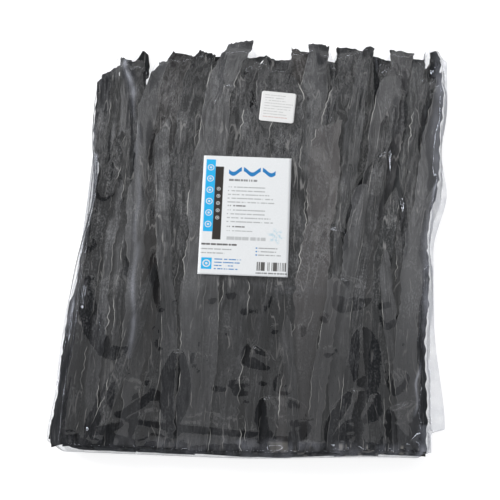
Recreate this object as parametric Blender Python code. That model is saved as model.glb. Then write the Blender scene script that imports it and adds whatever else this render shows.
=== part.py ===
"""A clear film bag of dried kelp strips, lying flat, with a paper label and a small price sticker.

X runs across the bag, Y along the strips towards their loose tips, Z up.
The origin is under the middle of the bag, on the surface it lies on.
Three closed solids: bag (the filled film bag), label and sticker.
"""

import bmesh
import bpy
import numpy as np

# Driving dimensions, in metres
BAG_WIDTH = 0.326
BAG_LENGTH = 0.371
BAG_HEIGHT = 0.037
FLAP_WIDTH = 0.006            # loose film beyond the strips on the right side
NEAR_FLAP_WIDTH = 0.015       # and at the near end, where it is widest
FLAP_THICKNESS = 0.003
STRIP_COUNT = 21              # strips that show side by side in the top layer
RIDGE_HEIGHT = 0.0016         # how far a strip's back stands over the grooves beside it
LABEL_SIZE = (0.0735, 0.1045)
LABEL_CENTRE = (-0.0110, 0.0100)
STICKER_SIZE = (0.0297, 0.0288)
STICKER_CENTRE = (0.0127, 0.1105)
STICKER_RADIUS = 0.0018
STICKER_TURN = np.radians(-4.0)
PAPER_THICKNESS = 0.0004
GAP = 0.0003                  # air between a paper piece and the film below it

# Sizes that follow from them
HALF_WIDTH = BAG_WIDTH / 2
HALF_LENGTH = BAG_LENGTH / 2
RIM_HEIGHT = 0.30 * BAG_HEIGHT      # widest line of the bag's filled sides
END_RIM_HEIGHT = 0.15 * BAG_HEIGHT  # where the film closes over the strips' tips
GRID_CELLS = (72, 46)               # across and along the bag
FLAP_CELLS = 3                      # of those across, how many the loose film takes
FILLED_SHARE = 1.0 - FLAP_CELLS / GRID_CELLS[0]


def smooth_step(value, low, high):
    """0 below low, 1 above high, and a cubic ease between them."""
    t = np.clip((value - low) / (high - low), 0.0, 1.0)
    return t * t * (3.0 - 2.0 * t)


def bell(value, centre, spread):
    """A round bump of height 1 at the centre."""
    return np.exp(-((value - centre) / spread) ** 2)


def box_mask(x, y, centre, size, margin):
    """1 over a paper piece, easing to 0 within the margin round it."""
    outside_x = np.abs(x - centre[0]) - size[0] / 2
    outside_y = np.abs(y - centre[1]) - size[1] / 2
    return 1.0 - smooth_step(np.maximum(outside_x, outside_y), 0.4 * margin, margin)


def left_edge(y):
    """The left side of the outline: drawn in at the waist, widest at the near corner."""
    waist = 0.0155 * bell(y, 0.022, 0.078)
    return -HALF_WIDTH + waist + 0.009 * smooth_step(y, -0.02, 0.15)


def right_edge(y):
    """The right side of the outline: full at the far end, drawn in below the middle."""
    waist = 0.0075 * bell(y, -0.035, 0.060)
    return HALF_WIDTH - waist - 0.007 * smooth_step(-y, -0.12, 0.02)


def filled_edge(y):
    """Where the filled part ends on the right and the loose film begins."""
    widening = smooth_step(-y, 0.06, 0.17)
    return right_edge(y) - FLAP_WIDTH - (NEAR_FLAP_WIDTH - FLAP_WIDTH) * widening


def bottom_end(across):
    """The near end of the outline, with a small left corner cut and a longer right one."""
    left_cut = 0.007 * (1.0 - smooth_step(across, 0.0, 0.05))
    right_cut = 0.021 * smooth_step(across, 0.955, 1.0)
    return -HALF_LENGTH + left_cut + right_cut + 0.006 * smooth_step(across, 0.45, 0.95)


def top_end(across):
    """The far end of the outline, with its left corner folded away and its right one round."""
    left_cut = 0.044 * (1.0 - smooth_step(across, -0.02, 0.11))
    right_cut = 0.010 * smooth_step(across, 0.965, 1.0)
    return HALF_LENGTH - left_cut - right_cut - 0.004 * bell(across, 0.24, 0.12)


def strip_backs(x, y):
    """Round backs side by side, one for each strip, each of its own height and slight lean."""
    draw = np.random.default_rng(7)
    share = draw.uniform(0.75, 1.30, STRIP_COUNT)
    edges = np.concatenate([[0.0], np.cumsum(share)]) / share.sum()
    lift = draw.uniform(-0.6, 0.8, STRIP_COUNT)
    tip = HALF_LENGTH - draw.uniform(0.003, 0.020, STRIP_COUNT)
    drift = 0.020 * np.sin(9.0 * y + 7.0 * x)
    place = (x - left_edge(y)) / (filled_edge(y) - left_edge(y))
    place = np.clip(place + drift, 0.0, 0.9999)
    index = np.searchsorted(edges, place, side="right") - 1
    within = (place - edges[index]) / (edges[index + 1] - edges[index])
    back = np.sin(np.pi * within) ** 0.7
    under_tip = 1.0 - smooth_step(y, tip[index] - 0.010, tip[index] + 0.002)
    return RIDGE_HEIGHT * (back * (1.0 + 0.5 * lift[index]) - 0.6), under_tip


def crown(x, y):
    """The smooth filled form: flat in the middle, steep at the near end, rounding off elsewhere."""
    side = 2.0 * (x - left_edge(y)) / (filled_edge(y) - left_edge(y)) - 1.0
    across = np.clip(1.0 - np.abs(side) ** 9, 0.0, 1.0) ** 0.5
    steepness = np.where(y < 0.0, 18.0, 9.0)
    along = np.clip(1.0 - np.abs(y / (1.01 * HALF_LENGTH)) ** steepness, 0.0, 1.0) ** 0.55
    wedge = 1.0 - 0.18 * smooth_step(y, 0.02, 0.19)
    return (BAG_HEIGHT - RIDGE_HEIGHT) * across * along * wedge


def film_height(x, y):
    """The film's upper side: the crown with the strips' backs, smooth below the paper pieces."""
    backs, under_tip = strip_backs(x, y)
    label = box_mask(x, y, LABEL_CENTRE, LABEL_SIZE, 0.014)
    sticker = box_mask(x, y, STICKER_CENTRE, STICKER_SIZE, 0.014)
    bare = 1.0 - np.maximum(label, sticker)
    filled = crown(x, y) * (0.55 + 0.45 * under_tip) + backs * bare
    end_rim = RIM_HEIGHT + (END_RIM_HEIGHT - RIM_HEIGHT) * smooth_step(y, 0.10, 0.18)
    flap_start = filled_edge(y)
    beyond = smooth_step(x, flap_start, flap_start + (right_edge(y) - flap_start) / FLAP_CELLS)
    return np.maximum(filled, end_rim) * (1.0 - beyond) + FLAP_THICKNESS * beyond


def plan_point(across, along):
    """A point of the outline's inside from its share across and along the bag."""
    y = bottom_end(across) * (1.0 - along) + top_end(across) * along
    if across <= FILLED_SHARE:
        share = across / FILLED_SHARE
        return left_edge(y) * (1.0 - share) + filled_edge(y) * share, y
    share = (across - FILLED_SHARE) / (1.0 - FILLED_SHARE)
    return filled_edge(y) * (1.0 - share) + right_edge(y) * share, y


def paint(item, colour, roughness, alpha=1.0):
    """Give an object its own plain Principled material."""
    material = bpy.data.materials.new(item.name)
    material.use_nodes = True
    shader = material.node_tree.nodes["Principled BSDF"]
    shader.inputs["Base Color"].default_value = (*colour, 1.0)
    shader.inputs["Roughness"].default_value = roughness
    shader.inputs["Metallic"].default_value = 0.0
    shader.inputs["Alpha"].default_value = alpha
    item.data.materials.append(material)


def add_object(name, mesh_builder):
    """Turn a finished bmesh into a smooth-shaded object of the given name."""
    bmesh.ops.recalc_face_normals(mesh_builder, faces=mesh_builder.faces)
    mesh = bpy.data.meshes.new(name)
    mesh_builder.to_mesh(mesh)
    mesh_builder.free()
    mesh.shade_smooth()
    mesh.set_sharp_from_angle(angle=np.radians(40.0))
    item = bpy.data.objects.new(name, mesh)
    bpy.context.scene.collection.objects.link(item)
    return item


def rim_of(mesh_builder):
    """The open edges round a sheet."""
    return [edge for edge in mesh_builder.edges if edge.is_boundary]


def extrude_rim(mesh_builder, draw_in, height):
    """Pull the open rim down to the given height, drawn in towards the bag's middle."""
    ring = bmesh.ops.extrude_edge_only(mesh_builder, edges=rim_of(mesh_builder))
    points = [item for item in ring["geom"] if isinstance(item, bmesh.types.BMVert)]
    for point in points:
        point.co.x *= 1.0 - draw_in / HALF_WIDTH
        point.co.y *= 1.0 - draw_in / HALF_LENGTH
        point.co.z = height if height < point.co.z else 0.5 * point.co.z


def make_bag():
    """The filled bag: a ridged sheet on top, sides that round under, and a flat underside."""
    builder = bmesh.new()
    bmesh.ops.create_grid(builder, x_segments=GRID_CELLS[0], y_segments=GRID_CELLS[1], size=0.5)
    for point in builder.verts:
        x, y = plan_point(point.co.x + 0.5, point.co.y + 0.5)
        point.co = (x, y, film_height(x, y))
    extrude_rim(builder, draw_in=0.0025, height=0.0025)
    extrude_rim(builder, draw_in=0.0035, height=0.0)
    bmesh.ops.contextual_create(builder, geom=rim_of(builder))
    bag = add_object("bag", builder)
    paint(bag, colour=(0.030, 0.031, 0.034), roughness=0.25)


def make_paper(name, centre, size, turn, radius, cells, colour):
    """A thin paper piece that follows the film below it, with round corners if a radius is given."""
    builder = bmesh.new()
    bmesh.ops.create_grid(builder, x_segments=cells[0], y_segments=cells[1], size=0.5)
    for point in builder.verts:
        point.co.x *= size[0]
        point.co.y *= size[1]
    if radius > 0.0:
        corners = [point for point in builder.verts if len(point.link_faces) == 1]
        bmesh.ops.bevel(builder, geom=corners, offset=radius, segments=4,
                        affect="VERTICES", profile=0.5)
    for point in builder.verts:
        x = centre[0] + point.co.x * np.cos(turn) - point.co.y * np.sin(turn)
        y = centre[1] + point.co.x * np.sin(turn) + point.co.y * np.cos(turn)
        point.co = (x, y, crown(x, y) + GAP)
    ring = bmesh.ops.extrude_face_region(builder, geom=builder.faces[:], use_keep_orig=True)
    for item in ring["geom"]:
        if isinstance(item, bmesh.types.BMVert):
            item.co.z += PAPER_THICKNESS
    paper = add_object(name, builder)
    paint(paper, colour=colour, roughness=0.55)


for old in list(bpy.data.objects):
    bpy.data.objects.remove(old, do_unlink=True)

make_bag()
make_paper("label", LABEL_CENTRE, LABEL_SIZE, 0.0, 0.0, (8, 12), (0.84, 0.85, 0.84))
make_paper("sticker", STICKER_CENTRE, STICKER_SIZE, STICKER_TURN, STICKER_RADIUS, (6, 6),
           (0.80, 0.80, 0.79))
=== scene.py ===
"""A clear film bag full of dried kelp strips, with a paper label and a small price sticker on top.

The bag lies flat with its label up: X runs across the strips, Y along them towards their loose
tips, Z up. Shapes are worked out in millimetres and turned into metres when a mesh is made.
"""

import math

import bpy
import numpy as np
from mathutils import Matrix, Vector


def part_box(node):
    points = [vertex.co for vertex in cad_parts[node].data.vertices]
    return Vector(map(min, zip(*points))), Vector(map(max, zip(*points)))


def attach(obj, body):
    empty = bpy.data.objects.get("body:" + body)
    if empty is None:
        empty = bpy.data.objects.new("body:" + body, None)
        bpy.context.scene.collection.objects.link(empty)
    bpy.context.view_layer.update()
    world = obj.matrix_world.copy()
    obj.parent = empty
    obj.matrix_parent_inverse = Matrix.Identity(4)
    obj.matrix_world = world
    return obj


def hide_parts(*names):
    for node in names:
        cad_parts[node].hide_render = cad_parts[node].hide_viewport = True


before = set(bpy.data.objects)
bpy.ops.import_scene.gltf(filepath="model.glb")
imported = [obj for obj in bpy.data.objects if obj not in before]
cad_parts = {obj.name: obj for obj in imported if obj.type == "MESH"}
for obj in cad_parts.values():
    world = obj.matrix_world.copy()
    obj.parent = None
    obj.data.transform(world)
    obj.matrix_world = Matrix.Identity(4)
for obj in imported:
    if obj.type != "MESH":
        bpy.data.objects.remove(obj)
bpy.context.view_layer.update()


# The kelp strips.
# Long flat blades of kelp, dried, cut to one length and packed in layers, square at the near end
# and ragged at their tips. Each is laid by hand on those below it and sags where they leave room.

MM = 0.001
bag_low, bag_high = (np.array(corner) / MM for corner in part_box("bag"))
half_width, half_length = bag_high[0], bag_high[1]
FULL_HEIGHT = 35.4                    # of the smooth form, below the highest strips' backs
PRESSED_HEIGHT = FULL_HEIGHT - 2.6    # of the pile under the tight film
GRID_STEP = 1.5                       # spacing of the height map that strips are laid on
GRID_MARGIN = 4                       # how far that map reaches past the bag
HIGHEST_PROPPED = 33.5                # the strips' left side is propped up no higher than this
PILE_EDGE = 3                         # there are no strips where the pile is lower than this
MIDDLE_KNOTS = (-180, -60, 60, 165)   # y of the places that a strip's middle line goes through
STRIP_THICKNESS = (0.45, 0.75)        # at a margin, and how much more in the middle
LOWER_LAYERS, STRIPS_PER_LAYER = 7, 8
LOWER_GRID, TOP_GRID = (64, 7), (190, 15)


def smooth_step(value, low, high):
    """0 below low, 1 above high, and a cubic ease between them."""
    t = np.clip((value - low) / (high - low), 0, 1)
    return t * t * (3 - 2 * t)


def bell(value, centre, spread):
    """A round bump of height 1 at the centre."""
    return np.exp(-((value - centre) / spread) ** 2)


def outline_left(y):
    """The bag's left side: widest at the near corner, drawn in towards the tips and at the waist."""
    tapered = 4 * smooth_step(y, -178, -130) + 6.5 * smooth_step(y, -130, 20)
    return -half_width + tapered + 8 * bell(y, 28, 40)


def outline_right(y):
    """The bag's right side with its loose film: full at the far end, drawn in at the middle, full
    again towards the near end and folded away at the corner."""
    drawn_in = 13.5 * smooth_step(-y, -55, 5) - 8 * smooth_step(-y, 65, 155)
    return half_width - drawn_in - 6 * bell(y, 85, 28) - 11 * smooth_step(-y, 155, 159)


def outline_near(across):
    """The near end: its left corner cut, its right one round."""
    left_cut = 7 * (1 - smooth_step(across, 0, 0.05))
    right_cut = 5 * smooth_step(across, 0.955, 1)
    return -half_length + left_cut + right_cut + 6 * smooth_step(across, 0.45, 0.95)


def outline_far(across):
    """The far end: its left corner folded away, its right one round."""
    left_cut = 44 * (1 - smooth_step(across, -0.02, 0.11))
    right_cut = 10 * smooth_step(across, 0.965, 1)
    return half_length - left_cut - right_cut - 4 * bell(across, 0.24, 0.12)


def share_across(x, y):
    """Where a point lies between the bag's left side, 0, and its right side, 1."""
    return (x - outline_left(y)) / (outline_right(y) - outline_left(y))


def filled_right(y):
    """Where the bag's filled part ends and the loose film begins."""
    narrowed = 4.5 * smooth_step(-y, -125, -90) + 8.5 * smooth_step(-y, -52, -18)
    return half_width - 6 - narrowed - 3 * smooth_step(-y, 45, 80)


def pile_left(y):
    """The left side of the stacked strips, close to the film."""
    return outline_left(y) + 2.4 + 5 * smooth_step(y, -72, -48) + 4 * bell(y, 51, 10)


def pile_right(y):
    """The right side of the stacked strips."""
    return filled_right(y) - 2.5 * bell(y, 0, 14)


def wedge(y):
    """The bag grows thinner towards the tips."""
    return 1 - 0.18 * smooth_step(y, 20, 190)


def crown(x, y):
    """The filled bag's smooth form: flat in the middle, steep at the sides and the near end."""
    side = 2 * (x - outline_left(y)) / (filled_right(y) - outline_left(y)) - 1
    across = np.clip(1 - np.abs(side) ** 9, 0, 1) ** 0.5
    steepness = np.where(y < 0, 18, 9)
    along = np.clip(1 - np.abs(y / (1.01 * half_length)) ** steepness, 0, 1) ** 0.55
    return FULL_HEIGHT * across * along * wedge(y)


# The strips that show on top, in the order they are laid. Each row holds x of its middle line at
# the four knots; half width; y of the tip; the tip's slant and shape; which margins are worn pale;
# and its tint, from greenish black, below 0, to brown, above 0.
TOP_STRIPS = [
    ((-136, -130, -127, -136), 10, 146, 2, "cut"),
    ((20, 40, 60, 90), 13, 169, 1, "cut", "", -0.4),
    ((64, 70, 84, 101), 12, 167, -2, "cut"),
    ((-120, -116, -116, -124), 5, 165, -2, "cut"),
    ((-62, -66, -70, -78), 14, 161, -3, "cut", "", 0.2),
    ((-140, -136, -134, -131), 8, 143, 3, "cut", "", -0.2),
    ((-104, -106, -104, -112), 8, 173, 4, "point", "l"),
    ((-30, -34, -32, -11), 12, 169, 1, "cut"),
    ((-90, -93, -94, -83), 13, 163, 1, "cut", "r"),
    ((106, 110, 120, 130), 11, 169, -1, "cut", "", -0.7),
    ((-128, -127, -119, -104), 8, 40, 0, "point", "r"),
    ((28, 30, 30, 32), 10, 177, -2, "cut", "", 0.9),
    ((-150, -145, -139, -144), 8, 133, 1, "cut", "r"),
    ((4, 2, 4, 12), 14, 161, -3, "cut"),
    ((-76, -81, -85, -68), 10, 162, 0, "cut", "r", 0.5),
    ((-58, -64, -67, -50), 10, 166, -4, "cut", "r"),
    ((90, 95, 105, 118), 10, 177, -5, "cut", "", 0.3),
    ((34, 38, 42, 46), 10, 180, 3, "cut", "l"),
    ((-45, -49, -46, -26), 11, 181, 1, "cut", "lr", 0.1),
    ((48, 52, 60, 75), 12, 181, -8, "cut", "l"),
    ((58, 66, 76, 87), 7, 183, 4, "point", "", -0.3),
    ((126, 124, 130, 148), 5, 184, 0, "round", "r"),
    ((86, 88, 98, 113), 10, 147, 0, "round", "l", 0.2),
    ((22, 24, 21, 12), 15, 146, 0, "round", "r"),
    ((119, 122, 132, 148), 10, 141, 0, "round", "l"),
    ((136, 137, 141, 155), 6, 120, 0, "round", "lr", 0.2),
    ((70, 76, 88, 100), 9, 43, 0, "round", "r"),
    ((-22, -16, -8, 0), 12, 112, 4, "cut", "lr"),
    ((32, 44, 54, 64), 12, 96, 5, "cut", "l", 0.8),
    ((50, 62, 76, 90), 6, -40, 0, "round", "l", 0.4),
    ((-122, -90, -74, -70), 6, -34, 2, "point", "l"),
    ((-84, -72, -60, -54), 5, -20, 0, "point", "r", 0.1),
    ((-143, -136, -124, -112), 6, 84, 0, "point", "r"),
    ((-66, -72, -82, -84), 6, 96, 0, "point", "l"),
    ((2, 6, 14, 20), 5, -58, 0, "point", "l"),
    ((98, 102, 112, 118), 7, 30, 0, "point", "r", -0.6),
    ((74, 84, 100, 112), 5, 118, 0, "point", "l"),
    ((-40, -34, -36, -30), 6, 128, 0, "point", "r", 0.2),
    ((118, 108, 96, 92), 5, -14, 0, "point", "l"),
    ((36, 24, 10, 4), 5, -72, 0, "point", "", 0.2),
    ((124, 126, 141, 162), 9, 138, 0, "round"),
]

grid_x = np.arange(bag_low[0] - GRID_MARGIN, bag_high[0] + GRID_MARGIN, GRID_STEP)
grid_y = np.arange(bag_low[1] - GRID_MARGIN, bag_high[1] + GRID_MARGIN, GRID_STEP)
map_x, map_y = np.meshgrid(grid_x, grid_y, indexing="ij")


def soften(heights, reach_x, reach_y):
    """A height map averaged over a box of the given reach in cells each way, edges repeated."""
    for reach in (reach_x, reach_y):
        width = 2 * reach + 1
        total = np.cumsum(np.pad(heights, ((reach + 1, reach), (0, 0)), mode="edge"), axis=0)
        heights = ((total[width:] - total[:-width]) / width).T
    return heights


def widen(heights, reach_x, reach_y):
    """A height map where each cell takes the highest value within the given reach."""
    for axis, reach in ((0, reach_x), (1, reach_y)):
        heights = np.max([np.roll(heights, shift, axis) for shift in range(-reach, reach + 1)], 0)
    return heights


def read_map(heights, x, y):
    """The height map's value at any points, blended between its four nearest cells."""
    column = np.clip((x - grid_x[0]) / GRID_STEP, 0, len(grid_x) - 1.001)
    row = np.clip((y - grid_y[0]) / GRID_STEP, 0, len(grid_y) - 1.001)
    i, j = column.astype(int), row.astype(int)
    u, v = column - i, row - j
    near = heights[i, j] * (1 - u) + heights[i + 1, j] * u
    far = heights[i, j + 1] * (1 - u) + heights[i + 1, j + 1] * u
    return near * (1 - v) + far * v


class Strip:
    """One blade of kelp: its outline seen from above and the relief of its upper side."""

    def __init__(self, draw, places, half_width, tip, slant, shape, pale="", tint=0,
                 in_shares=False):
        self.places, self.in_shares = places, in_shares
        self.half_width, self.tip, self.slant, self.shape = half_width, tip, slant, shape
        self.pale, self.tint = pale, tint
        self.sway = draw.uniform(0.4, 1.6), draw.uniform(0, 6.3)
        self.margin_phases = draw.uniform(0, 6.3, (2, 4))
        self.squeeze = draw.uniform(0, 6.3, 3)
        self.kinks = draw.normal(0, 1, (2, 130)) * draw.uniform(0.1, 0.75, (2, 1))
        self.fringe = draw.normal(0, 0.8, 24)
        self.fold_count = draw.uniform(1.4, 3.6)
        self.fold_height = draw.uniform(0.9, 2.1)
        self.sharpness = draw.uniform(0, 1)
        self.ruffle = draw.uniform(0, 0.35)
        self.rolls = np.maximum(draw.uniform(-2.6, 2.2, 2), 0)
        self.phases = draw.uniform(0, 6.3, 6)
        self.start = draw.uniform(-1.2, 2.2)
        self.number = draw.uniform(0, 9)

    def middle_line(self, y):
        """x of the middle: a cubic through the four given places, plus a slow sway. Places are
        shares of the pile's width where a strip of the lower layers follows its sides."""
        line = 0 * y
        for place, knot in zip(self.places, MIDDLE_KNOTS):
            others = [other for other in MIDDLE_KNOTS if other != knot]
            line = line + place * np.prod([(y - other) / (knot - other) for other in others], 0)
        if self.in_shares:
            line = pile_left(y) + line * (pile_right(y) - pile_left(y))
        size, phase = self.sway
        return line + size * np.sin(y / 43 + phase)

    def margin(self, y, side):
        """Half width towards one side: slow waves of four lengths and small kinks."""
        row = int(side > 0)
        width = 1 + 0 * y
        for length, size, phase in zip((97, 41, 19, 8), (0.13, 0.06, 0.028, 0.012),
                                       self.margin_phases[row]):
            width = width + size * np.sin(y / length * 6.28 + phase)
        kinks = np.interp(y, np.linspace(-195, 195, self.kinks.shape[1]), self.kinks[row])
        return self.half_width * width + kinks

    def keep_inside(self, x, y):
        """x held inside the pile's sides, which waver a little from strip to strip."""
        waver = 1.1 * np.sin(y / 2.3 + self.squeeze[0]) * np.sin(y / 9 + self.squeeze[1])
        waver = waver + 0.8 * np.sin(y / 15 + self.squeeze[2])
        return np.clip(x, pile_left(y) + 0.6 + 0.5 * waver, pile_right(y) - 1.2 + waver)

    def near_edge(self, across, x):
        """y of the square-cut end, a little slanted, close inside the bag's near end. The lower
        strips stop short of its left corner."""
        slanted = 0.5 * self.start + 0.6 * across * np.sign(self.phases[0] - 3.1)
        short = 7 * smooth_step(-x, 138, 156) if self.in_shares else 0
        return -half_length + 1.9 + 6 * smooth_step(x, -15, 147) + slanted + short

    def far_edge(self, across, x):
        """y of the tip: cut across with a ragged fringe, drawn to a point, or round; and always
        inside the bag's far end."""
        if self.shape == "round":
            edge = self.tip - self.half_width * (1 - np.sqrt(1 - 0.97 * across ** 2))
        elif self.shape == "point":
            edge = self.tip - 13 * np.abs(across - 0.5) + self.slant * across
        else:
            ragged = np.interp(across, np.linspace(-1, 1, len(self.fringe)), self.fringe)
            edge = self.tip + self.slant * across + ragged
        return np.minimum(edge, outline_far(share_across(x, 150)) - 1.6)

    def relief(self, y, across):
        """Height over the strip's lie: long folds, soft or sharp, and rolled, ruffled margins."""
        drift = 0.3 * np.sin(y / 47 + self.phases[1]) + 0.1 * np.sin(y / 17 + self.phases[2])
        wave = np.sin(np.pi * (0.5 * self.fold_count * across + drift) + self.phases[3])
        strength = 0.65 + 0.35 * np.sin(y / 33 + self.phases[0])
        soft, sharp = 0.5 + 0.5 * wave, 1 - np.sqrt(wave ** 2 + 0.01)
        folds = self.fold_height * strength * (soft + self.sharpness * (0.8 * sharp - soft))
        rim = np.abs(across) ** 3
        ruffle = self.ruffle * rim * (1 + np.sin(y / 8.5 + self.phases[4] + 2 * np.sign(across)))
        roll = np.where(across < 0, self.rolls[0], self.rolls[1])
        rolled = roll * smooth_step(np.abs(across), 0.5, 1) * (0.7 + 0.3 * np.sin(y / 26))
        return 0.15 + folds + ruffle + rolled + 0.35 * (1 + np.sin(y / 24 + self.phases[5]))

    def thickness(self, across):
        """Thin at the margins, thicker along the middle."""
        margin, rise = STRIP_THICKNESS
        return margin + rise * (1 - across ** 2)


def lay_strip(pile, strip, rows, columns):
    """Lay a strip on the pile: return the raised pile and the strip's grid of points and marks.

    It rests on the pile's highest points within a few millimetres, averaged as a stiff blade
    bridges them. Grid points run along the strip by rows and across it by columns, closer
    together at the margins.
    """
    rest = soften(widen(pile, 3, 6), 3, 6)
    offset = map_x - strip.middle_line(map_y)
    width = np.where(offset < 0, strip.margin(map_y, -1), strip.margin(map_y, 1))
    across = offset / width
    safe = np.clip(across, -1, 1)
    inside = (np.abs(across) <= 1) & (strip.keep_inside(map_x, map_y) == map_x)
    inside &= (map_y >= strip.near_edge(safe, map_x)) & (map_y <= strip.far_edge(safe, map_x))
    top = rest + strip.relief(map_y, safe) + strip.thickness(safe)
    raised = np.where(inside, np.maximum(top, pile), pile)

    across = np.sin(0.5 * np.pi * np.linspace(-1, 1, columns))[None, :]
    along = np.linspace(0, 1, rows)[:, None]
    near_x = strip.middle_line(MIDDLE_KNOTS[0] + 0 * across) + across * strip.half_width
    far_x = strip.middle_line(strip.tip + 0 * across) + across * strip.half_width
    near_y, far_y = strip.near_edge(across, near_x), strip.far_edge(across, far_x)
    y = near_y + along * (far_y - near_y)
    width = np.where(across < 0, strip.margin(y, -1), strip.margin(y, 1))
    x = strip.keep_inside(strip.middle_line(y) + across * width, y)
    under = read_map(rest, x, y) + strip.relief(y, across)
    across = across + 0 * y
    upper_points = np.stack([x, y, under + strip.thickness(across)], -1)
    lower_points = np.stack([x, y, under], -1)
    marks = np.stack([0.5 + 0.5 * across, y * 0.01 + strip.number], -1)
    left, right = (1 if side in strip.pale else 0.25 for side in "lr")
    pale = np.where(across < 0, left, right)
    shade, tint = strip.number % 1 + 0 * across, strip.tint + 0 * across
    return raised, (upper_points, lower_points, marks, pale, tint, shade)


def slab_faces(rows, columns):
    """Quads of a closed slab made of an upper and a lower grid of points, joined all round."""
    index = np.arange(rows * columns).reshape(rows, columns)
    lower = index + rows * columns

    def sheet(grid, flip):
        quads = np.stack([grid[:-1, :-1], grid[:-1, 1:], grid[1:, 1:], grid[1:, :-1]], -1)
        return (quads[..., ::-1] if flip else quads).reshape(-1, 4)

    def wall(top, bottom):
        return np.stack([top[:-1], bottom[:-1], bottom[1:], top[1:]], -1)

    return np.concatenate([
        sheet(index, False), sheet(lower, True),
        wall(index[0, :], lower[0, :]), wall(index[-1, ::-1], lower[-1, ::-1]),
        wall(index[::-1, 0], lower[::-1, 0]), wall(index[:, -1], lower[:, -1])])


def mark_points(piece, name, values):
    """Store one value for each of the piece's points."""
    attribute = piece.data.attributes.new(name, "FLOAT", "POINT")
    attribute.data.foreach_set("value", values.astype(np.float32).ravel())


def add_mesh(name, points, quads, marks, last_face=()):
    """A smooth mesh object from points in millimetres, its quads, a UV mark for each point and,
    where one is given, a last face with more corners."""
    corners = np.concatenate([quads.ravel(), last_face]).astype(np.int32)
    starts = np.arange(0, len(corners) if len(last_face) == 0 else quads.size + 1, 4)
    mesh = bpy.data.meshes.new(name)
    mesh.vertices.add(len(points))
    mesh.vertices.foreach_set("co", (points * MM).astype(np.float32).ravel())
    mesh.loops.add(len(corners))
    mesh.loops.foreach_set("vertex_index", corners)
    mesh.polygons.add(len(starts))
    mesh.polygons.foreach_set("loop_start", starts.astype(np.int32))
    layer = mesh.uv_layers.new(name="UVMap")
    layer.data.foreach_set("uv", marks[corners].astype(np.float32).ravel())
    mesh.update(calc_edges=True)
    mesh.validate()
    mesh.shade_smooth()
    piece = bpy.data.objects.new(name, mesh)
    bpy.context.scene.collection.objects.link(piece)
    return piece


draw = np.random.default_rng(41)
pile = np.full(map_x.shape, 0.6)      # just above the film's under sheet
lower_laid, top_laid = [], []
for layer in range(LOWER_LAYERS):
    inset = 0.052 + 0.003 * layer
    for place in draw.permutation(np.linspace(inset, 1 - inset, STRIPS_PER_LAYER)):
        tip = draw.uniform(136, 166) if place > 0.24 else draw.uniform(118, 132)
        strip = Strip(draw, place + draw.uniform(-0.012, 0.012, 4), draw.uniform(16.5, 21), tip,
                      draw.uniform(-6, 6), "cut", in_shares=True)
        pile, laid = lay_strip(pile, strip, *LOWER_GRID)
        lower_laid.append(laid)
for row in TOP_STRIPS:
    pile, laid = lay_strip(pile, Strip(draw, *row), *TOP_GRID)
    top_laid.append(laid)

# The tight film presses the pile to an even height that falls off towards the tips, with four
# shallow dents; and it props up the left side, where strips would sag, along the waist.
side = 2 * (map_x - pile_left(map_y)) / (pile_right(map_y) - pile_left(map_y)) - 1
falling = np.where(side < 0, 0.12 - 0.06 * smooth_step(map_y, -55, 5), 0.05)
falling = falling * np.clip(np.abs(side), 0, 1) ** 5
dent = 0.17 * bell(map_x, -147, 17) * bell(map_y, -82, 36)
dent = dent + 0.11 * bell(map_x, -60, 38) * bell(map_y, -150, 66)
dent = dent + 0.06 * bell(map_x, 78, 26) * bell(map_y, 25, 34)
dent = dent + 0.1 * bell(map_x, 92, 26) * bell(map_y, -108, 46)
pressed = PRESSED_HEIGHT * (1 - falling - dent) * wedge(map_y)
pressed = pressed * (1 - 0.1 * smooth_step(-map_y, 45, 85))
pressed = pressed * (1 - 0.26 * smooth_step(map_y, 118, 190))
filled = (pile > PILE_EDGE).astype(float)
average = soften(pile * filled, 9, 12) / np.maximum(soften(filled, 9, 12), 0.05)
press = soften(np.clip(pressed / np.maximum(average, PILE_EDGE), 0.6, 1.3), 4, 4)
from_left = map_x - pile_left(map_y)
along_waist = smooth_step(map_y, -60, -15) * (1 - smooth_step(map_y, 80, 120))
propped = 1 + 0.22 * along_waist * (1 - smooth_step(from_left, 0, 14))
highest = HIGHEST_PROPPED / np.maximum(soften(pile, 1, 1), PILE_EDGE)
press = np.minimum(press * propped, np.maximum(press, highest))
pile = pile * press

paper_boxes = [[np.array(corner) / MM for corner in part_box(node)] for node in ("label", "sticker")]
(label_low, label_high), (sticker_low, sticker_high) = paper_boxes


def box_distance(x, y, low, high):
    """How far a point lies outside a box, in millimetres; negative inside it."""
    outside_x = np.abs(x - 0.5 * (low[0] + high[0])) - 0.5 * (high[0] - low[0])
    outside_y = np.abs(y - 0.5 * (low[1] + high[1])) - 0.5 * (high[1] - low[1])
    return np.maximum(outside_x, outside_y)


def under_papers(x, y):
    """The highest that kelp may reach: just below the film that carries a paper piece."""
    ceiling = np.full(np.shape(x), np.inf)
    for low, high in paper_boxes:
        outside = np.maximum(box_distance(x, y, low, high) - 1, 0)
        ceiling = np.minimum(ceiling, crown(x, y) - 0.4 + 0.5 * outside)
    return ceiling


class Wire:
    """A value, colour or vector between nodes; sums, differences and products add Math nodes."""

    def __init__(self, finish, socket):
        self.finish, self.socket = finish, socket

    def math(self, operation, *others):
        """A Math node of this wire and the others."""
        return self.finish.node("ShaderNodeMath", {"operation": operation}, self, *others)

    def __add__(self, other):
        return self.math("ADD", other)

    def __sub__(self, other):
        return self.math("SUBTRACT", other)

    def __rsub__(self, other):
        return self.finish.node("ShaderNodeMath", {"operation": "SUBTRACT"}, other, self)

    def __mul__(self, other):
        return self.math("MULTIPLY", other)

    __radd__, __rmul__ = __add__, __mul__

    def ramp(self, low, high):
        """0 below low, 1 above high, with a cubic ease between them."""
        settings = {"interpolation_type": "SMOOTHSTEP"}
        return self.finish.node("ShaderNodeMapRange", settings, self, low, high, 0, 1)


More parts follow.
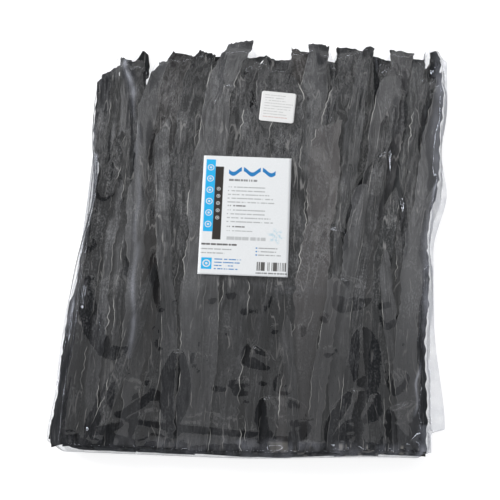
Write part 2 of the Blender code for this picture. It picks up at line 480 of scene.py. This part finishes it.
class Finish:
    """A material, or the world's light, whose nodes are added one by one."""

    def __init__(self, name, kind=bpy.data.materials, output="ShaderNodeOutputMaterial"):
        self.data = kind.new(name)
        self.data.use_nodes = True
        self.tree = self.data.node_tree
        self.tree.nodes.clear()
        self.output = self.tree.nodes.new(output)

    def node(self, kind, settings, *values, out=0, **named):
        """Add a node: its settings first, then values or wires for its sockets, by place or name."""
        node = self.tree.nodes.new(kind)
        for key, value in settings.items():
            setattr(node, key, value)
        sockets = [(node.inputs[place], value) for place, value in enumerate(values)]
        sockets += [(node.inputs[name.replace("_", " ")], value) for name, value in named.items()]
        for socket, value in sockets:
            if isinstance(value, Wire):
                self.tree.links.new(value.socket, socket)
            elif value is not None:
                socket.default_value = (*value, 1) if socket.type == "RGBA" else value
        return Wire(self, node.outputs[out])

    def mix(self, share, first, second):
        """One colour fading to another."""
        skipped = (None,) * 5
        return self.node("ShaderNodeMix", {"data_type": "RGBA"}, share, *skipped, first, second,
                         out=2)

    def place(self, scale=(1, 1, 1), shift=(0, 0, 0), source="Object"):
        """The piece's own coordinates, stretched and moved."""
        wire = self.node("ShaderNodeTexCoord", {}, out=source)
        return self.node("ShaderNodeMapping", {}, wire, shift, None, scale)

    def split(self, source):
        """The first two of the piece's own coordinates, as separate wires."""
        parts = self.node("ShaderNodeSeparateXYZ", {}, self.place(source=source))
        return parts, Wire(self, parts.socket.node.outputs[1])

    def mark(self, name):
        """A value stored with the piece's points."""
        return self.node("ShaderNodeAttribute", {"attribute_name": name}, out=2)

    def noise(self, where, detail=3, roughness=0.55):
        """Fractal noise between 0 and 1, whose patches are about 1 across."""
        return self.node("ShaderNodeTexNoise", {}, where, Scale=1, Detail=detail,
                         Roughness=roughness)

    def bump(self, height, strength, distance):
        """A bumped normal from a height wire."""
        return self.node("ShaderNodeBump", {}, Strength=strength, Distance=distance, Height=height)

    def show(self, shader, *pieces):
        """Use the shader as the material's surface and give the material to the pieces."""
        self.tree.links.new(shader.socket, self.output.inputs["Surface"])
        for piece in pieces:
            piece.data.materials.append(self.data)


kelp = Finish("dried_kelp")
streaks = kelp.noise(kelp.place((9, 4, 1), source="UV"), 5, 0.6)
blotches = kelp.noise(kelp.place((150, 60, 150)), roughness=0.6)
cloud = kelp.noise(kelp.place((40, 22, 40), (3, 1, 0)))
grain = kelp.noise(kelp.place((800, 500, 800)), roughness=0.7)
blade_u, _ = kelp.split("UV")
from_middle = (blade_u - 0.5).math("ABSOLUTE") * 2
worn = kelp.noise(kelp.place((0, 2.6, 1), source="UV"), roughness=0.6)
edge = from_middle.ramp(0.93, 0.99) * worn.ramp(0.46, 0.6) * kelp.mark("pale")
wander = kelp.noise(kelp.place((0, 1.5, 1), (0, 3, 0), "UV"), 4, 0.6)
vein = 1 - (blade_u - wander * 1.3 + 0.15).math("ABSOLUTE").ramp(0.006, 0.024)
vein = vein * kelp.noise(kelp.place((0, 5, 1), (0, 9, 0), "UV")).ramp(0.48, 0.62)
hairs = kelp.noise(kelp.place((60, 10, 60), (5, 0, 0)), 2.5, 0.5)
hair = 1 - (hairs - 0.5).math("ABSOLUTE").ramp(0.002, 0.01)
hair = hair * kelp.noise(kelp.place((30, 30, 30)), 2).ramp(0.49, 0.6)
value = streaks * 0.28 + blotches * 0.18 + cloud * 0.22 + kelp.mark("shade") * 0.32
base = kelp.mix(value.ramp(0.38, 0.62), (0.005, 0.005, 0.0055), (0.088, 0.088, 0.09))
tint = kelp.mark("tint")
base = kelp.mix(tint.ramp(0, 1) * 0.36, base, (0.052, 0.034, 0.026))
base = kelp.mix((tint * -1).ramp(0, 1) * 0.5, base, (0.005, 0.009, 0.0095))
dust = grain.ramp(0.44, 0.66) * (streaks + cloud).ramp(0.86, 1.22)
base = kelp.mix(dust * 0.7, base, (0.21, 0.21, 0.215))
base = kelp.mix(hair * 0.6, base, (0.3, 0.29, 0.28))
across_x, along_y = kelp.split("Object")
ends = along_y.ramp(-0.02, -0.12) * 0.62 + along_y.ramp(0.05, 0.16) * 0.25
base = kelp.mix(ends, base, (0.006, 0.006, 0.007))
base = kelp.mix(vein * 0.5, base, (0.26, 0.25, 0.24))
base = kelp.mix(edge * 0.85, base, (0.55, 0.54, 0.51))
cut_end = along_y.ramp(-0.1735, -0.1765) * across_x.ramp(-0.05, 0.12)
cut_end = cut_end * kelp.noise(kelp.place((60, 0, 420))).ramp(0.54, 0.62)
base = kelp.mix(cut_end * 0.7, base, (0.4, 0.38, 0.34))
relief = kelp.bump(streaks + grain * 0.3 + blotches * 0.5, 0.6, 0.0006)
kelp_shader = kelp.node("ShaderNodeBsdfPrincipled", {}, Base_Color=base, Roughness=0.75,
                        Normal=relief, Specular_IOR_Level=0.3)

third = len(top_laid) // 3
for name, laid, (rows, columns) in (("kelp_lower_layers", lower_laid, LOWER_GRID),
                                    ("kelp_top_layer_a", top_laid[:third], TOP_GRID),
                                    ("kelp_top_layer_b", top_laid[third:2 * third], TOP_GRID),
                                    ("kelp_top_layer_c", top_laid[2 * third:], TOP_GRID)):
    uppers, lowers, marks, *looks = (np.stack(part) for part in zip(*laid))
    points = np.stack([uppers, lowers], 1).reshape(-1, 3)
    points[:, 2] *= read_map(press, points[:, 0], points[:, 1])
    points[:, 2] = np.minimum(points[:, 2], under_papers(points[:, 0], points[:, 1]))
    count = 2 * rows * columns
    quads = slab_faces(rows, columns)[None] + count * np.arange(len(laid))[:, None, None]
    marks = np.stack([marks, marks], 1).reshape(-1, 2)
    piece = add_mesh(name, points, quads.reshape(-1, 4), marks)
    for look, values in zip(("pale", "tint", "shade"), looks):
        mark_points(piece, look, np.stack([values, values], 1))
    kelp.show(kelp_shader, piece)
    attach(piece, "root")
    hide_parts("bag")


# The film.
# A tube of clear food film, welded shut past the strips' tips and folded under at the near end.
# It lies on the strips' backs, bridges the grooves between them and is loose along the right side.

FILM_GRID = (280, 320)
FILM_CLEARANCE = 0.35
SIDE_RIM, NEAR_RIM, LOOSE_RIM = 9, 2.4, 1.1
HIGHEST_FILM = 37.2
PAPER_LIFT, PAPER_MARGIN = 0.16, 0.8  # the film under a paper piece: over the form, past its edge
SAG = 0.6                             # how far it may sink between the strips under the papers
PULLS = 130                           # rounds of pulling the film taut
TIP_ROOM = 1.2                        # film past the tips
OUT_OF_REACH = 400                    # past any tip
SOFT_CREST = 1                        # crests level off over this much below the highest film
UNDER_RINGS, RING_STEP, FLOOR_GAP = 3, 0.02, 0.25


def denser_ends(count):
    """Shares from 0 to 1, closer together near both ends."""
    even = np.linspace(0, 1, count)
    return 0.6 * even + 0.4 * (0.5 - 0.5 * np.cos(np.pi * even))


def value_noise(x, y, size, seed):
    """Smooth noise from -1 to 1: random values on a square lattice of the given size, eased."""
    table = np.random.default_rng(seed).uniform(-1, 1, (64, 64))
    u, v = x / size + 31, y / size + 31
    i, j = np.floor(u).astype(int), np.floor(v).astype(int)
    u, v = u - i, v - j
    u, v = u * u * (3 - 2 * u), v * v * (3 - 2 * v)
    low = table[i % 64, j % 64] * (1 - u) + table[(i + 1) % 64, j % 64] * u
    high = table[i % 64, (j + 1) % 64] * (1 - u) + table[(i + 1) % 64, (j + 1) % 64] * u
    return low * (1 - v) + high * v


def stretch_film(start, floor_heights, pinned, rounds):
    """Pull the film taut over what is below it: each point moves to its neighbours' average,
    but no lower than the floor given for it, and pinned points stay."""
    heights = start.copy()
    for _ in range(rounds):
        average = 0.25 * (heights[:-2, 1:-1] + heights[2:, 1:-1]
                          + heights[1:-1, :-2] + heights[1:-1, 2:])
        pulled = np.maximum(average, floor_heights[1:-1, 1:-1])
        heights[1:-1, 1:-1] = np.where(pinned[1:-1, 1:-1], start[1:-1, 1:-1], pulled)
    return heights


def crease(x, y, start, end, height, width):
    """A long narrow fold of film: a sharp crest along a line that fades towards both ends."""
    run = np.array(end) - np.array(start)
    length = np.hypot(*run)
    run = run / length
    along = ((x - start[0]) * run[0] + (y - start[1]) * run[1]) / length
    aside = (x - start[0]) * run[1] - (y - start[1]) * run[0]
    aside = aside + 1.3 * np.sin(along * 9 + start[0])
    fade = np.sqrt(np.clip(4 * along * (1 - along), 0, 1))
    return height * fade * np.exp(-np.sqrt(aside ** 2 + 0.3) / width)


def facet(x, y, centre, size, turn, slope, back=0.33):
    """A lens-shaped facet that leans to one side at the given slope; the side opposite falls by the
    given share of it."""
    c, s = math.cos(math.radians(turn)), math.sin(math.radians(turn))
    along = ((x - centre[0]) * c + (y - centre[1]) * s) / size[0]
    aside = ((y - centre[1]) * c - (x - centre[0]) * s) / size[1] * np.sign(slope) + 0.5
    bulge = np.sqrt(np.clip(1 - along ** 2, 0, 1))
    fall = np.where(aside > 0, aside, -aside * back)
    return size[1] * abs(slope) * np.maximum(bulge - fall, 0)


tip_line = np.where(pile > PILE_EDGE, map_y, -half_length).max(axis=1)[:, None]
tip_line = soften(widen(tip_line, 1, 0), 1, 0)[:, 0] + TIP_ROOM


def film_place(across, along):
    """x and y of the film's points from their shares of the way across and along the bag. Its far
    end follows the strips' tips, but for the loose film at the right."""
    x = outline_left(160) + across * (outline_right(160) - outline_left(160))
    tips_at = np.interp(x, grid_x, tip_line) + OUT_OF_REACH * smooth_step(across, 0.93, 0.97)
    y = outline_near(across) * (1 - along) + np.minimum(outline_far(across), tips_at) * along
    return outline_left(y) * (1 - across) + outline_right(y) * across, y


share_x, share_y = np.meshgrid(denser_ends(FILM_GRID[0]), denser_ends(FILM_GRID[1]), indexing="ij")
film_x, film_y = film_place(share_x, share_y)

# The film's height before it is pulled taut. It rests on the strips, hangs down from the papers'
# edges, and lies almost flat at its rim and where it is bare, with no strips below.
rim = SIDE_RIM + (NEAR_RIM - SIDE_RIM) * (1 - smooth_step(share_y, 0, 0.06))
flat = LOOSE_RIM + 0.7 * value_noise(film_x, film_y, 22, 5)
covered = read_map(widen((pile > PILE_EDGE).astype(float), 3, 3), film_x, film_y)
bare = (covered < 0.5) & (film_y > -170) & (share_x > 0.08)
rim = np.where(bare | (share_x > 0.96), flat, rim)
rim = rim + (flat - rim) * smooth_step(share_y, 0.88, 1)
border = np.ones(film_x.shape, bool)
border[1:-1, 1:-1] = False
paper = np.minimum(*(box_distance(film_x, film_y, low, high) for low, high in paper_boxes))
pinned = border | bare | (paper < PAPER_MARGIN)
obstacle = read_map(widen(pile, 1, 1), film_x, film_y) + FILM_CLEARANCE
obstacle = np.minimum(obstacle, under_papers(film_x, film_y) + 0.35)
away = np.maximum(paper - PAPER_MARGIN, 0)
under_paper = crown(film_x, film_y) + PAPER_LIFT
carried = under_paper - 0.16 * away - 0.012 * away ** 2
start = np.where(border | bare, rim, np.maximum(np.maximum(obstacle, rim), carried))
start = np.where(paper < PAPER_MARGIN, under_paper, start)
lowest = np.maximum(obstacle, np.minimum(carried, 36) - SAG)
film_z = stretch_film(start, lowest, pinned, PULLS)

# Loose film: folds that run along the bag, facets that lean away from the light, fine crinkles.
# The rows hold what crease and facet ask for.
CREASES = [
    ((-122, 168), (-103, 60), 1.6, 2.6),
    ((-104, 95), (-99, -115), 1.7, 2.4),
    ((151, 70), (139, -12), 3, 2.2),
    ((139, -6), (149, -60), 2.4, 2),
    ((134, -60), (130, -160), 2, 1.6),
    ((-139, 70), (-146, -60), 1, 1.6),
    ((-141, -40), (-152, -176), 2.4, 1.8),
    ((-80, -85), (-92, -120), 1, 1.6),
    ((-61, -130), (-66, -186), 1.2, 1.4),
    ((-9, -60), (-19, -184), 0.9, 1.3),
    ((22, -120), (18, -186), 1, 1.3),
    ((78, -100), (80, -184), 1, 1.3),
    ((-18, -48.5), (64, -52), 0.9, 0.9),
    ((2, -53), (70, -55), 0.7, 0.9),
]
FACETS = [
    ((-131, -84), (35, 15), 112, 0.3),
    ((-66.5, -139), (35, 13), 90, 0.5, 1),
    ((-91, -153), (18, 8), 38, -0.44),
    ((-84, -135), (8, 6), 70, 0.36),
    ((-113, -171), (15, 5.5), 16, -0.42),
    ((-44, -168), (58, 5), -4, -0.42),
    ((-6, -106), (8, 8), 70, 0.36),
    ((-10, -127), (8, 4), 8, 0.38),
    ((9, -163), (22, 12), 100, 0.4),
    ((70, -149), (27, 12), 58, 0.4),
    ((94, -153), (20, 8), 60, -0.44),
    ((82, -109), (29, 13), 94, 0.36, 0.8),
    ((112, -162), (16, 12), 118, 0.42),
    ((120, -127), (10, 5), 50, -0.38),
    ((65, -54), (13, 9), 92, 0.36),
    ((52, -24), (10, 4.5), -25, 0.36),
    ((62, 1), (10, 8), 10, 0.36),
    ((92, 19), (11, 6), 120, 0.36),
    ((86, 40), (38, 9), 64, 0.38),
    ((35, -82), (7, 3.5), 0, 0.38),
    ((112, -76), (7, 3.5), 45, -0.38),
    ((120, 10), (34, 6), 94, -0.36),
    ((137, 100), (30, 6), 80, 0.36),
    ((-12, 147), (8, 5), 30, 0.36),
    ((-88, 154), (10, 6), 10, 0.36),
    ((-121, 27), (13, 8), 55, -0.36),
]
scatter = np.random.default_rng(8)
for _ in range(36):
    place = scatter.uniform(-140, 135), scatter.uniform(-178, 60)
    size = scatter.uniform(2.5, 8), scatter.uniform(2, 3.5)
    FACETS.append((place, size, scatter.uniform(30, 150), scatter.choice((-0.34, 0.34))))
loose = 0 * film_x
for row in CREASES:
    loose = loose + crease(film_x, film_y, *row)
for row in FACETS:
    loose = np.maximum(loose, facet(film_x, film_y, *row))
loose = soften(loose, 1, 1)
swell = value_noise(film_x, film_y, 30, 21) + 0.5 * value_noise(film_x, film_y, 13, 22)
wrinkled = 0.35 + 0.5 * smooth_step(-film_y, 30, 130) + 0.3 * smooth_step(film_x, 60, 130)
crumpled = 0.2 * smooth_step(0.06 - share_x, 0, 0.05) * smooth_step(-film_y, -30, 30)
crumpled = crumpled + smooth_step(-film_y, 158, 176)
folds = 1 - 2.2 * np.abs(value_noise(film_x, film_y, 10, 23))
folds = folds + 0.6 * (1 - 2.2 * np.abs(value_noise(film_x, film_y, 5, 24)))
loose = loose + np.maximum(swell, 0) * 0.9 * wrinkled + np.maximum(folds, 0) * 0.3 * crumpled
loose = loose * smooth_step(paper, 0.5, 7)

# Painted highlights and sheen on the film, drawn as a pale diffuse colour: soft lines along its
# creases, bright glints at its left edge, a whitish left rim, a sheen along the near fold and a grey
# cast over the loose flap. The rows hold start, end, strength and width.
PAINTED_SHEEN_LINES = [
    ((-124, 162), (-109, 106), 0.42, 1.3),
    ((-110, 112), (-102, 56), 0.18, 1),
    ((-103, 64), (-99, -24), 0.18, 1),
    ((-99, -16), (-98, -114), 0.3, 1.2),
    ((151.5, 66), (139.5, -2), 1.1, 0.5),
    ((141, -10), (146, -50), 0.4, 1),
    ((133, -106), (129, -152), 1.2, 0.35),
    ((-148, -52), (-151, -88), 1.1, 0.7),
    ((-154, -95), (-158.5, -172), 0.8, 0.5),
    ((-144, 84), (-141, 20), 0.3, 1.1),
    ((-141.5, 34), (-146, -30), 0.32, 1),
    ((-138.5, 62), (-143, 40), 1, 0.6),
    ((-18, -48.5), (64, -52), 0.16, 0.4),
    ((2, -53), (70, -55), 0.12, 0.4),
]
# Painted sheen: a grey cast over the loose flap at the right, a sheen along the near fold and a
# whitish strip along the left rim; then the painted highlight lines along the creases, made patchy.
painted_sheen = 0.2 * smooth_step(share_x, 0.945, 0.965) * (1 + 0.3 * value_noise(film_x, film_y, 9, 31))
near_fold = smooth_step(-film_y, 171, 178) * smooth_step(share_x, -0.2, 0.9)
painted_sheen = painted_sheen + 0.09 * near_fold * np.maximum(0.6 + value_noise(film_x, film_y, 4, 33), 0)
left_rim = smooth_step(0.03 - share_x, 0, 0.012) * smooth_step(film_y, -20, 40)
painted_sheen = painted_sheen + 0.1 * left_rim
for row in PAINTED_SHEEN_LINES:
    painted_sheen = np.maximum(painted_sheen, crease(film_x, film_y, *row) * 1.25)
painted_sheen = painted_sheen * (0.75 + 0.5 * value_noise(film_x, film_y, 7, 32))
shine = smooth_step(1 - share_y, 0.012, 0.055) + 0.6 * smooth_step(share_x, 0.955, 0.975)
shine = np.clip(shine * (0.3 + 0.7 * smooth_step(share_x, 0, 0.02)), 0, 1)
edge_share = np.minimum.reduce([share_x, 1 - share_x, share_y, 1 - share_y])
film_z = film_z + loose * smooth_step(edge_share, 0, 0.02)
level = HIGHEST_FILM - SOFT_CREST
film_z = np.where(film_z > level, HIGHEST_FILM - np.exp(np.minimum(level - film_z, 0)), film_z)

# The under sheet: rings that slope in from the rim, and one flat face just above the floor.
index = np.arange(film_x.size).reshape(film_x.shape)
rim_loop = np.concatenate([index[:-1, 0], index[-1, :-1], index[:0:-1, -1], index[0, :0:-1]])
quads = [np.stack([index[:-1, :-1], index[1:, :-1], index[1:, 1:], index[:-1, 1:]], -1)]
points = [np.stack([film_x, film_y, film_z], -1).reshape(-1, 3)]
outer = rim_loop
for ring in range(1, UNDER_RINGS + 1):
    inner = film_x.size + (ring - 1) * len(rim_loop) + np.arange(len(rim_loop))
    ring_x, ring_y = film_place(*(0.5 + (1 - RING_STEP * ring) * (share.ravel()[rim_loop] - 0.5)
                                  for share in (share_x, share_y)))
    falling = (1 - ring / UNDER_RINGS) ** 1.5
    ring_z = FLOOR_GAP + (film_z.ravel()[rim_loop] - FLOOR_GAP) * falling
    points.append(np.stack([ring_x, ring_y, ring_z], -1))
    quads.append(np.stack([outer, inner, np.roll(inner, -1), np.roll(outer, -1)], -1))
    outer = inner
points = np.concatenate(points)
quads = np.concatenate([part.reshape(-1, 4) for part in quads])
film = add_mesh("film_bag", points, quads, points[:, :2] * 0.01, outer[::-1])
# The under sheet gets no painted sheen and full shine.
for look, values, below in (("painted_sheen", painted_sheen, 0), ("shine", shine, 1)):
    below = np.full(UNDER_RINGS * len(rim_loop), below)
    mark_points(film, look, np.concatenate([values.ravel(), below]))
on_rim = np.zeros(len(points), bool)
on_rim[rim_loop] = True
edges = np.empty(2 * len(film.data.edges), np.int32)
film.data.edges.foreach_get("vertices", edges)
film.data.edges.foreach_set("use_edge_sharp", on_rim[edges.reshape(-1, 2)].all(1))
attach(film, "root")
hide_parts("bag")

clear = Finish("clear_film")
ripple = clear.noise(clear.place((190, 60, 190)))
skin = clear.bump(ripple, 0.2, 0.0005)
gloss = clear.node("ShaderNodeBsdfAnisotropic", {}, Color=(1, 1, 1), Roughness=0.045,
                   Normal=skin)
see_through = clear.node("ShaderNodeBsdfTransparent", {}, Color=(0.965, 0.968, 0.975))
facing = clear.node("ShaderNodeLayerWeight", {}, 0.5, skin, out=1)
mirror_share = (facing.math("POWER", 5) * 0.92 + 0.075) * clear.mark("shine")
clean = clear.node("ShaderNodeMixShader", {}, mirror_share, see_through, gloss)
# A pale lavender diffuse shader that paints the film's highlights, glints and sheen wherever the
# painted sheen mark is high.
sheen_paint = clear.node("ShaderNodeBsdfDiffuse", {}, Color=(0.62, 0.64, 0.72))
clear.show(clear.node("ShaderNodeMixShader", {}, clear.mark("painted_sheen"), clean, sheen_paint), film)


# The label.
# A sheet of white paper stuck on the film, printed with generic bands, rings and rows of dashes.

PAPER_THICKNESS = 0.22


def paper_piece(name, low, high, turn, cells, node, radius=0):
    """A thin sheet of paper lying on the film: an upper and a lower grid, joined round the edge,
    its rows shortened near the ends where the corners are round."""
    middle, size = 0.5 * (low + high), high - low
    u, v = np.meshgrid(np.linspace(0, 1, cells[0]), denser_ends(cells[1]))
    across, along = (u - 0.5) * size[0], (v - 0.5) * size[1]
    inward = np.maximum(radius - (0.5 * size[1] - np.abs(along)), 0)
    across = across * (1 - 2 * (radius - np.sqrt(radius ** 2 - inward ** 2)) / size[0])
    x = middle[0] + across * math.cos(turn) - along * math.sin(turn)
    y = middle[1] + across * math.sin(turn) + along * math.cos(turn)
    lower = np.stack([x, y, crown(x, y) + 0.3], -1).reshape(-1, 3)
    marks = np.stack([u, v], -1).reshape(-1, 2)
    points = np.concatenate([lower + (0, 0, PAPER_THICKNESS), lower])
    piece = add_mesh(name, points, slab_faces(cells[1], cells[0]), np.concatenate([marks, marks]))
    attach(piece, "root")
    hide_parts(node)
    return piece


label = paper_piece("paper_label", label_low, label_high, 0, (31, 43), "label")


class Print(Finish):
    """Paper with ink on it, placed by shares of its width from the left and height from the top."""

    def __init__(self, name, paper, size):
        super().__init__(name)
        self.width, self.height = size
        self.u, up = self.split("UV")
        self.v = 1 - up
        fibre = self.noise(self.place((900, 900, 900)))
        self.colour = self.mix(fibre.ramp(0.3, 0.7) * 0.5, paper, tuple(0.93 * c for c in paper))

    def band(self, wire, low, high, edge):
        """1 between two shares, soft over the edge."""
        return wire.ramp(low, low + edge) * (1 - wire.ramp(high - edge, high))

    def add(self, where, ink):
        """Ink where the wire is 1."""
        self.colour = self.mix(where, self.colour, ink)

    def block(self, left, right, top, bottom, ink, strength=1):
        """A plain block of ink."""
        inside = self.band(self.u, left, right, 0.008) * self.band(self.v, top, bottom, 0.006)
        self.add(inside * strength, ink)

    def rows(self, left, right, top, bottom, count, ink, strength, fill=0.42, ragged=0.3, words=46):
        """Rows of broken dashes in place of small print, each ending a little sooner or later."""
        line = (self.v - top) * (count / (bottom - top))
        number = line.math("FLOOR")
        inside = self.band(line - number, 0.5 - fill / 2, 0.5 + fill / 2, 0.15)
        where = self.node("ShaderNodeCombineXYZ", {}, self.u * words, number * 7.31 + left * 50)
        dashes = self.noise(where, 2).ramp(0.38, 0.48)
        ends = self.node("ShaderNodeTexWhiteNoise", {"noise_dimensions": "1D"}, None,
                         number * 3.7 + left * 31)
        end = right - ends * (ragged * (right - left))
        inside = inside * self.u.ramp(left, left + 0.006) * self.u.math("LESS_THAN", end)
        self.add(inside * self.band(self.v, top, bottom, 0.004) * dashes * strength, ink)

    def rings(self, middle, top, bottom, count, radius, line, ink, strength=1):
        """A column of small rings with a dot in each, one above the other."""
        place = (self.v - top) * (count / (bottom - top))
        number = place.math("FLOOR")
        down = (place - number - 0.5) * ((bottom - top) / count * self.height)
        aside = (self.u - middle) * self.width
        away = (down * down + aside * aside).math("SQRT")
        ring = self.band(away, radius - line, radius, 0.25)
        dot = 1 - away.ramp(0.22 * radius, 0.42 * radius)
        inside = ring.math("MAXIMUM", dot) * self.band(self.v, top, bottom, 0.002)
        self.add(inside * strength, ink)

    def wave(self, left, right, middle, swing, count, thick, ink):
        """A bold wavy ornament with its line cut into short pieces."""
        turn = (self.u - left) * (6.283 * count / (right - left))
        away = (self.v - middle - turn.math("SINE") * swing).math("ABSOLUTE")
        cut = (turn * 0.5 + 0.8).math("SINE").math("ABSOLUTE").ramp(0.1, 0.22)
        inside = (1 - away.ramp(thick - 0.008, thick)) * self.band(self.u, left, right, 0.008)
        self.add(inside * cut, ink)

    def stripes(self, left, right, top, bottom, count, ink, strength):
        """Upright stripes of uneven width."""
        number = ((self.u - left) * (count / (right - left))).math("FLOOR")
        dark = self.node("ShaderNodeTexWhiteNoise", {"noise_dimensions": "1D"}, None, number * 1.7)
        inside = self.band(self.u, left, right, 0.004) * self.band(self.v, top, bottom, 0.005)
        self.add(inside * dark.math("GREATER_THAN", 0.45) * strength, ink)

    def leafy(self, middle_u, middle_v, radius, petals, ink, strength):
        """A pale round spray of leaves."""
        aside = (self.u - middle_u) * self.width
        down = (self.v - middle_v) * self.height
        away = (aside * aside + down * down).math("SQRT")
        turn = aside.math("ARCTAN2", down)
        reach = ((turn * petals).math("SINE") * 0.22 + 0.78) * radius
        patchy = self.noise(self.place((520, 520, 520))).ramp(0.38, 0.62)
        self.add((1 - away.math("DIVIDE", reach).ramp(0.55, 1)) * patchy * strength, ink)


CYAN, BLUE, BLACK = (0.008, 0.4, 0.76), (0.004, 0.18, 0.46), (0.03, 0.024, 0.02)
GREY, WHITE, PALE_BLUE = (0.09, 0.09, 0.09), (0.66, 0.68, 0.68), (0.28, 0.52, 0.64)
ink = Print("printed_label", (0.74, 0.755, 0.76), (label_high - label_low)[:2])
ink.leafy(0.855, 0.665, 8.5, 6, PALE_BLUE, 0.55)
ink.block(0.135, 0.24, 0.09, 0.715, BLACK)
ink.block(0.03, 0.145, 0.03, 0.65, CYAN)
ink.rings(0.088, 0.055, 0.635, 6, 2.9, 0.95, WHITE)
ink.rings(0.188, 0.255, 0.56, 5, 1.7, 0.7, WHITE, 0.85)
ink.wave(0.29, 0.83, 0.13, 0.022, 2.5, 0.022, BLUE)
ink.rows(0.295, 0.62, 0.19, 0.222, 1, GREY, 0.8, 0.7, 0, 60)
ink.rows(0.29, 0.86, 0.25, 0.41, 5, GREY, 0.55)
ink.rows(0.29, 0.5, 0.412, 0.437, 1, BLACK, 0.8, 0.6, 0)
ink.rows(0.29, 0.87, 0.445, 0.575, 4, GREY, 0.55)
ink.rows(0.29, 0.5, 0.588, 0.612, 1, BLACK, 0.8, 0.6, 0)
ink.rows(0.29, 0.69, 0.622, 0.648, 1, GREY, 0.55)
ink.rows(0.3, 0.74, 0.672, 0.722, 1, GREY, 0.4, 0.7, 0, 26)
ink.rows(0.02, 0.42, 0.735, 0.768, 1, BLACK, 0.9, 0.6, 0, 60)
ink.rows(0.02, 0.4, 0.775, 0.84, 2, GREY, 0.6)
ink.rows(0.66, 0.93, 0.757, 0.842, 3, GREY, 0.7)
ink.rows(0.63, 0.652, 0.757, 0.842, 3, BLUE, 1, 0.5, 0, 0)
ink.block(0.03, 0.155, 0.86, 0.96, CYAN)
ink.rings(0.0925, 0.865, 0.955, 1, 3.4, 1.3, WHITE)
ink.rows(0.175, 0.48, 0.86, 0.965, 4, BLUE, 0.9, 0.5)
ink.stripes(0.65, 0.985, 0.882, 0.958, 44, BLACK, 0.9)
ink.rows(0.64, 0.99, 0.964, 0.986, 1, GREY, 0.8, 0.7, 0, 60)
ink.show(ink.node("ShaderNodeBsdfPrincipled", {}, Base_Color=ink.colour, Roughness=0.5), label)


# The price sticker.
# A small white thermal sticker, turned a little, with faint rows of dashes.

sticker = paper_piece("price_sticker", sticker_low + 0.85, sticker_high - 0.85, math.radians(-4),
                      (25, 25), "sticker", 1.8)
faint = Print("printed_sticker", (0.73, 0.73, 0.72), (sticker_high - sticker_low)[:2])
faint.rows(0.1, 0.93, 0.08, 0.8, 8, GREY, 0.4, 0.4, 0.4, 30)
faint.rows(0.1, 0.8, 0.81, 0.89, 1, (0.42, 0.14, 0.1), 0.5, 0.5, 0, 30)
faint.show(faint.node("ShaderNodeBsdfPrincipled", {}, Base_Color=faint.colour, Roughness=0.5),
           sticker)


# Floor, lights and camera.
# A wide pale floor; broad soft lights overhead, behind and low at the sides; narrow ones that draw
# bright lines along the film; and a small high key light.

bpy.ops.mesh.primitive_plane_add(size=12, location=(0, 0, 0))
floor = bpy.context.object
floor.name = "floor"
floor.visible_glossy = False
ground = Finish("pale_floor")
ground.show(ground.node("ShaderNodeBsdfPrincipled", {}, Base_Color=(0.42, 0.42, 0.42), Roughness=0.9,
                        Emission_Color=(1, 1, 1), Emission_Strength=0.78), floor)

studio = Finish("studio", bpy.data.worlds, "ShaderNodeOutputWorld")
bpy.context.scene.world = studio.data
light = studio.node("ShaderNodeBackground", {}, (1, 1, 1), 0.44)
for ray, colour, strength in (("Is Glossy Ray", (0.85, 0.92, 1), 0.1),
                              ("Is Camera Ray", (1, 1, 1), 1.1)):
    chosen = studio.node("ShaderNodeLightPath", {}, out=ray)
    seen = studio.node("ShaderNodeBackground", {}, colour, strength)
    light = studio.node("ShaderNodeMixShader", {}, chosen, light, seen)
studio.show(light)


def area_light(name, place, target, size, radiance, glossy=True, colour=(1, 1, 1)):
    """A rectangular soft light whose power follows from its size and brightness."""
    data = bpy.data.lights.new(name, "AREA")
    data.shape = "RECTANGLE"
    data.size, data.size_y = size
    data.energy = radiance * math.pi * size[0] * size[1]
    data.color = colour
    lamp = bpy.data.objects.new(name, data)
    bpy.context.scene.collection.objects.link(lamp)
    lamp.location = place
    lamp.rotation_euler = (Vector(target) - Vector(place)).to_track_quat("-Z", "Y").to_euler()
    lamp.visible_glossy = glossy


area_light("overhead", (0, 0.825, 1.24), (0, 0.825, 0), (1.24, 1.95), 0.39)
for number in range(5):
    place = 0.22 * number - 0.44
    area_light(f"overhead_strip_{number}", (place, 1.1, 1.22), (place, 1.1, 0), (0.09, 1.4), 0.44)
area_light("key", (-1.3, 0.35, 0.95), (0, 0, 0), (0.45, 0.45), 31, glossy=False)
area_light("back_low", (0, 1.85, 0.7), (0, 0, 0.02), (2.6, 1.1), 0.6)
for name, place, size, radiance in (
        ("left_low", (-1.12, 0.1, 0.34), (2, 0.6), 0.25),
        ("left_line", (-1.1, -0.08, 0.62), (0.75, 0.05), 11),
        ("left_line_low", (-1.1, -0.08, 0.2), (0.75, 0.04), 7),
        ("right_low", (1.12, 0.1, 0.3), (2, 0.55), 0.4),
        ("right_line", (1.1, 0.15, 0.55), (1.4, 0.04), 9),
        ("back_line", (0, 1.75, 1), (2, 0.05), 4),
        ("front_line", (0, -1.15, 0.42), (1.6, 0.04), 6)):
    area_light(name, place, (0, 0, 0.02), size, radiance, colour=(0.84, 0.88, 1))

VIEW_TURN, VIEW_RISE, VIEW_DISTANCE = math.radians(2.3), math.radians(72), 0.985
aim = Vector((-0.006, -0.015, 0.02))
camera_data = bpy.data.cameras.new("camera")
camera_data.lens = 85.2
camera = bpy.data.objects.new("camera", camera_data)
bpy.context.scene.collection.objects.link(camera)
toward = Vector((math.sin(VIEW_TURN) * math.cos(VIEW_RISE),
                 -math.cos(VIEW_TURN) * math.cos(VIEW_RISE), math.sin(VIEW_RISE)))
camera.location = aim + VIEW_DISTANCE * toward
camera.rotation_euler = (-toward).to_track_quat("-Z", "Y").to_euler()
bpy.context.scene.camera = camera
bpy.context.scene.view_settings.view_transform = "Standard"
